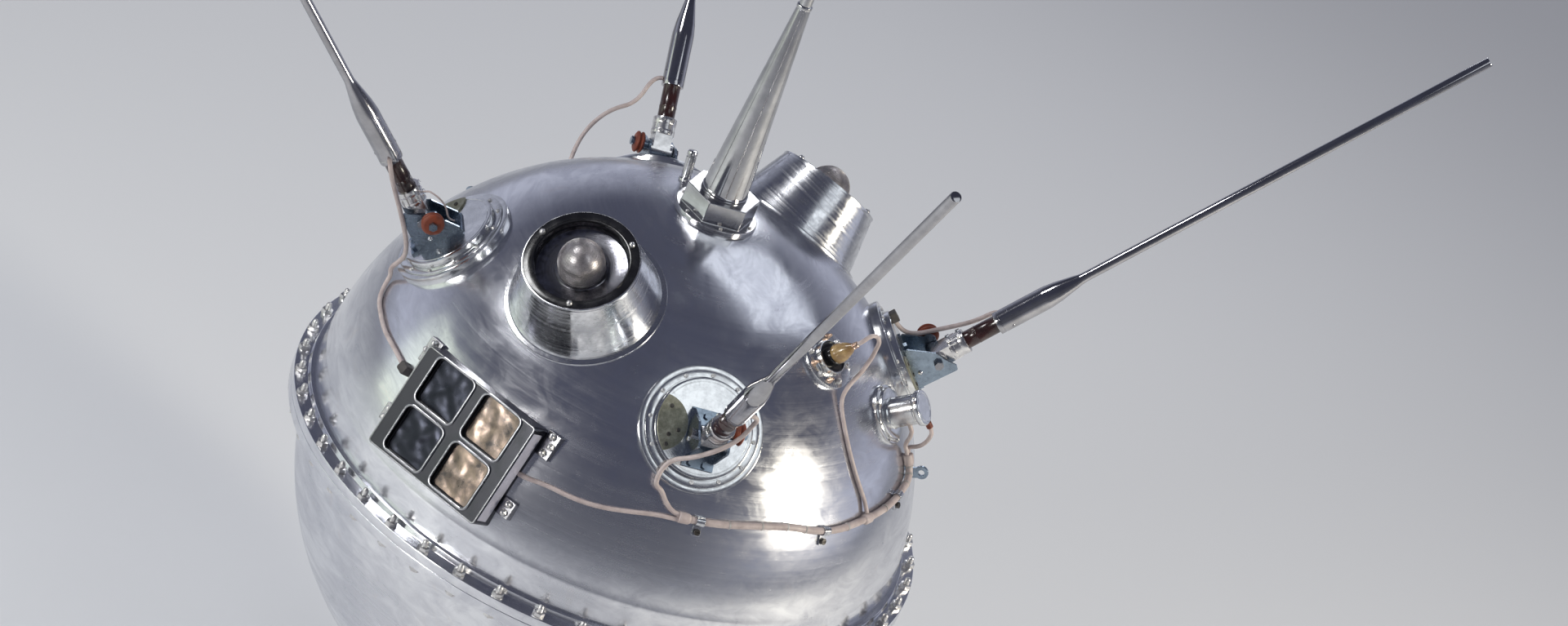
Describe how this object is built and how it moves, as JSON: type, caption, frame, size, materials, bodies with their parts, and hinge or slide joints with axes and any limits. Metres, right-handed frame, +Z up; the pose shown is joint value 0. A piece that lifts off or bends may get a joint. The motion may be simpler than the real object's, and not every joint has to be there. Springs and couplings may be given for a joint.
{
  "type": "spherical lunar probe",
  "caption": "Polished spherical lunar probe with a bolted equatorial flange, a magnetometer mast, folding rod antennas, particle traps and impact detector panels.",
  "frame": {"origin": "centre of the pressure sphere, where the flange joint plane crosses the mast axis", "axes": "+Z up the magnetometer mast; the antennas stand on +X, +Y, -X and -Y; -Y is the side of the front antenna"},
  "size_m": [1.7534, 1.7055, 1.8202],
  "materials": {
    "polished_alloy": "polished",
    "flange_steel": "satin",
    "instrument_mass": "satin",
    "mast_alloy": "polished",
    "boss_alloy": "polished",
    "bracket_alloy": "satin",
    "khaki_plate": "satin",
    "spool_rubber": "matte",
    "trap_alloy": "polished",
    "trap_black": "gloss",
    "trap_mirror": "polished",
    "trap_mesh": "satin",
    "detector_grey": "satin",
    "plate_dark": "gloss",
    "plate_copper": "polished",
    "amber_resin": "gloss",
    "terminal_metal": "satin",
    "harness_sleeve": "matte",
    "clip_alloy": "satin",
    "gland_rubber": "matte",
    "knuckle_alloy": "polished",
    "insulator_laminate": "gloss",
    "rod_alloy": "polished"
  },
  "bodies": {
    "probe": {"amber_insulator": "amber_resin", "amber_port": "boss_alloy", "amber_terminal": "terminal_metal", "antenna_bosses": "boss_alloy", "antenna_brackets": "bracket_alloy", "boss_covers": "khaki_plate", "boss_screws": "flange_steel", "cap_boot": "spool_rubber", "clip_screws": "flange_steel", "cover_screws": "flange_steel", "detector_feet": "bracket_alloy", "detector_frames": "detector_grey", "detector_nuts": "flange_steel", "detector_plates_copper": "plate_copper", "detector_plates_dark": "plate_dark", "flange_bolts": "flange_steel", "harness_branches": "harness_sleeve", "harness_clips": "clip_alloy", "harness_trunk": "harness_sleeve", "hinge_pins": "flange_steel", "hinge_spools": "spool_rubber", "instrument_block": "instrument_mass", "lead_back": "harness_sleeve", "lead_front": "harness_sleeve", "lead_glands": "gland_rubber", "lead_left": "harness_sleeve", "lead_right": "harness_sleeve", "lifting_eyes": "bracket_alloy", "lower_shell": "polished_alloy", "magnetometer_head": "mast_alloy", "mast_collar": "mast_alloy", "mast_posts": "mast_alloy", "mast_tube": "mast_alloy", "port_nuts": "flange_steel", "stepped_port": "boss_alloy", "stepped_port_cap": "boss_alloy", "trap_cups": "trap_mirror", "trap_domes": "trap_mesh", "trap_housings": "trap_alloy", "trap_rings": "trap_black", "trap_screws": "flange_steel", "upper_shell": "polished_alloy"},
    "antenna_right": {"antenna_right_insulator": "insulator_laminate", "antenna_right_knuckle": "knuckle_alloy", "antenna_right_rod": "rod_alloy"},
    "antenna_back": {"antenna_back_insulator": "insulator_laminate", "antenna_back_knuckle": "knuckle_alloy", "antenna_back_rod": "rod_alloy"},
    "antenna_left": {"antenna_left_insulator": "insulator_laminate", "antenna_left_knuckle": "knuckle_alloy", "antenna_left_rod": "rod_alloy"},
    "antenna_front": {"antenna_front_insulator": "insulator_laminate", "antenna_front_knuckle": "knuckle_alloy", "antenna_front_rod": "rod_alloy"}
  },
  "joints": [
    {"name": "antenna_right_fold", "type": "hinge", "parent": "probe", "child": "antenna_right", "pos_m": [0.34954, 0, 0.2855], "axis": [0, -1, 0], "range_deg": [0, 61.6], "deforming": ["lead_right"]},
    {"name": "antenna_back_fold", "type": "hinge", "parent": "probe", "child": "antenna_back", "pos_m": [0, 0.34954, 0.2855], "axis": [1, 0, 0], "range_deg": [0, 62.8], "deforming": ["lead_back"]},
    {"name": "antenna_left_fold", "type": "hinge", "parent": "probe", "child": "antenna_left", "pos_m": [-0.34954, 0, 0.2855], "axis": [0, 1, 0], "range_deg": [0, 64.9], "deforming": ["lead_left"]},
    {"name": "antenna_front_fold", "type": "hinge", "parent": "probe", "child": "antenna_front", "pos_m": [0, -0.34954, 0.2855], "axis": [-1, 0, 0], "range_deg": [0, 59.1], "deforming": ["lead_front"]}
  ]
}
